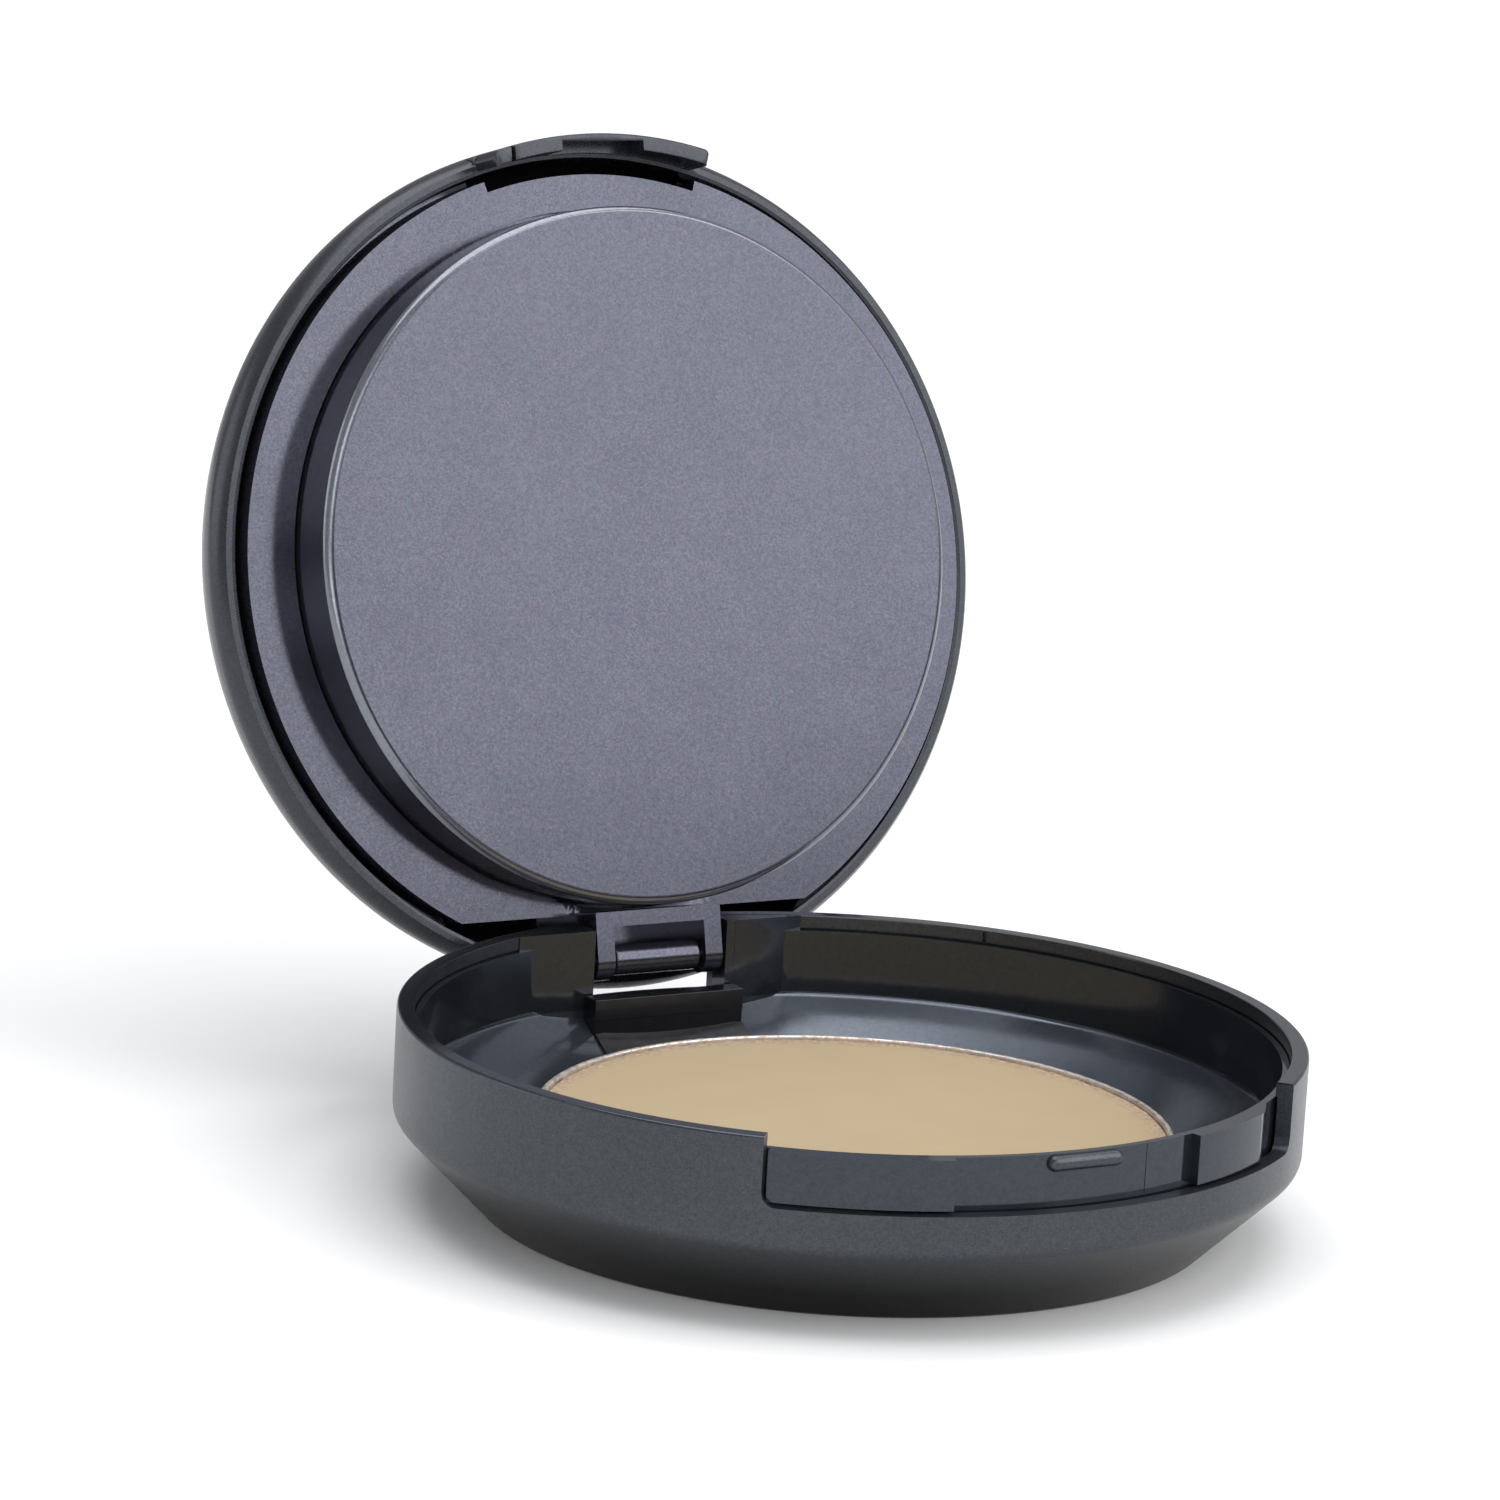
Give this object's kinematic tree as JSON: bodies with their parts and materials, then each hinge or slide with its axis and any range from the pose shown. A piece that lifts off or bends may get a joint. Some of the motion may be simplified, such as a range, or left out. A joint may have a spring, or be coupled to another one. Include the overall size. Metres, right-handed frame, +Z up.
{
  "type": "powder compact",
  "caption": "Round pressed powder compact with a shallow base, a recessed powder pan and a domed lid that swings back on a rear hinge pin.",
  "frame": {"origin": "under the middle of the open compact's footprint, on the surface it stands on", "axes": "+Z up, -Y towards the latch at the front, +X to the right seen from the front, along the hinge pin"},
  "size_m": [0.083, 0.1101, 0.0918],
  "materials": {
    "case_satin": "satin metallic-flake paint, dark blue-grey",
    "frame_satin": "satin metallic-flake paint, dark blue-grey, glossier on the inner walls",
    "bracket_gloss": "glossy near-black plastic",
    "pan_aluminium": "rolled aluminium with a bright cut rim",
    "pressed_powder": "matte pressed beige powder",
    "adhesive_tape": "white double-sided tape",
    "label_film": "blank satin film",
    "pin_steel": "drawn steel wire",
    "lid_satin": "satin metallic-flake paint, dark blue-grey",
    "plate_satin": "satin metallic-flake paint, blue-grey",
    "barrel_satin": "semi-gloss blue-grey paint",
    "panel_satin": "satin metallic-flake paint, blue-grey"
  },
  "bodies": {
    "base": {"base_shell": "case_satin", "inner_frame": "frame_satin", "hinge_bracket": "bracket_gloss", "powder_pan": "pan_aluminium", "powder_cake": "pressed_powder", "pan_adhesive": "adhesive_tape", "bottom_label": "label_film", "hinge_pin": "pin_steel"},
    "lid": {"lid_shell": "lid_satin", "lid_plate": "plate_satin", "hinge_barrel": "barrel_satin", "lid_center_panel": "panel_satin"}
  },
  "joints": [
    {"name": "lid_hinge", "type": "hinge", "parent": "base", "child": "lid", "pos_m": [0, 0.02494, 0.0141], "axis": [1, 0, 0], "range_deg": [0, 103.85]}
  ]
}
